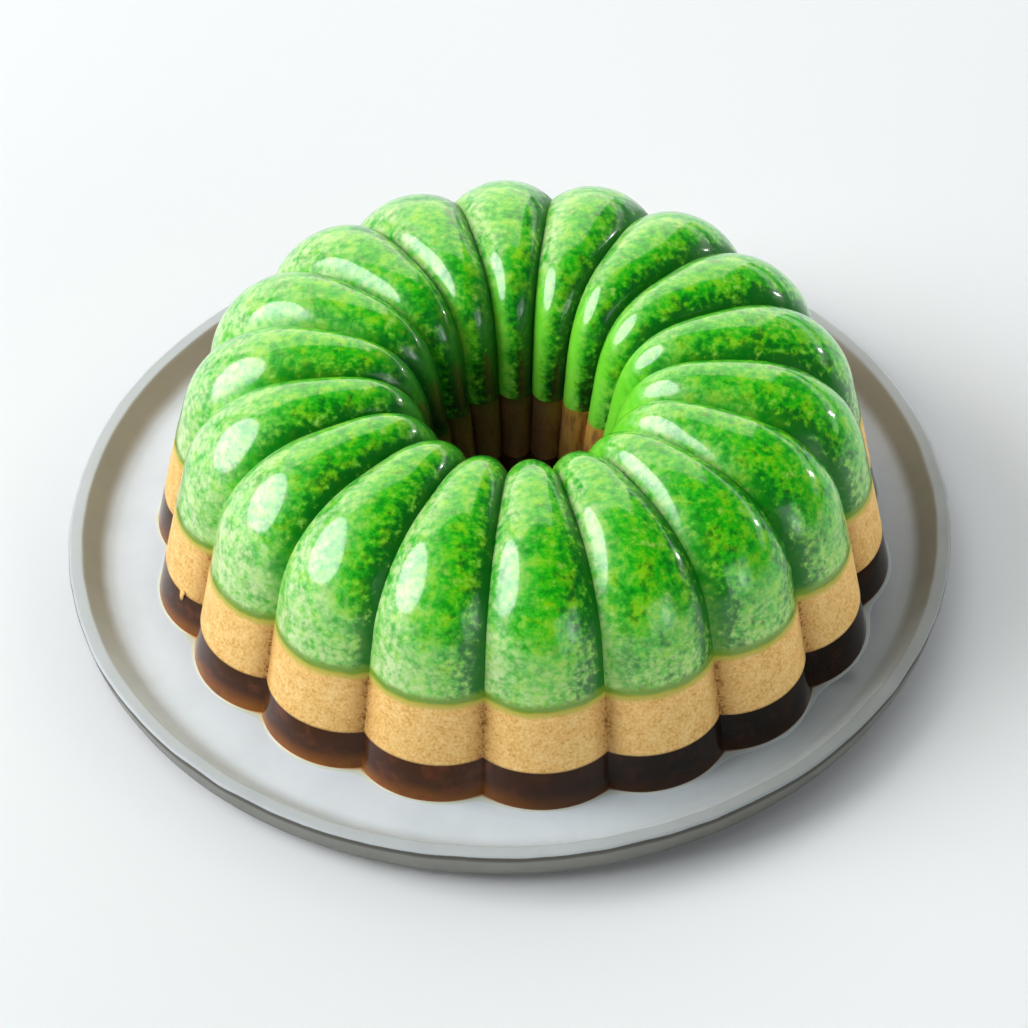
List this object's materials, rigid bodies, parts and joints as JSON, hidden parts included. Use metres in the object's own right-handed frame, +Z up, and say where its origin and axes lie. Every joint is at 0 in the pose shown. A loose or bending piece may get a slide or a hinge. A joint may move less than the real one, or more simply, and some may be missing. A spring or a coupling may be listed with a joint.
{
  "type": "moulded jelly",
  "caption": "Layered moulded jelly ring with deep round lobes and a flared centre hole, turned out on a shallow oval-edged stoneware plate.",
  "frame": {"origin": "middle of the plate's underside, on the surface that it stands on", "axes": "+Z up through the plate and the ring; +X and +Y level, with the ring set 3.5 mm towards +X of the plate's middle"},
  "size_m": [0.273, 0.2768, 0.0851],
  "materials": {
    "stoneware": "satin grey glaze, taupe on the raised side, bare dark clay at the edge",
    "brown_jelly": "wet, dark and slightly translucent set jelly",
    "tan_jelly": "opaque creamy set pudding with a fine sandy grain",
    "green_jelly": "wet glossy set jelly, mottled with fine pale curds"
  },
  "bodies": {
    "root": {"plate": "stoneware", "brown_layer": "brown_jelly", "tan_layer": "tan_jelly", "green_layer": "green_jelly"}
  },
  "joints": []
}
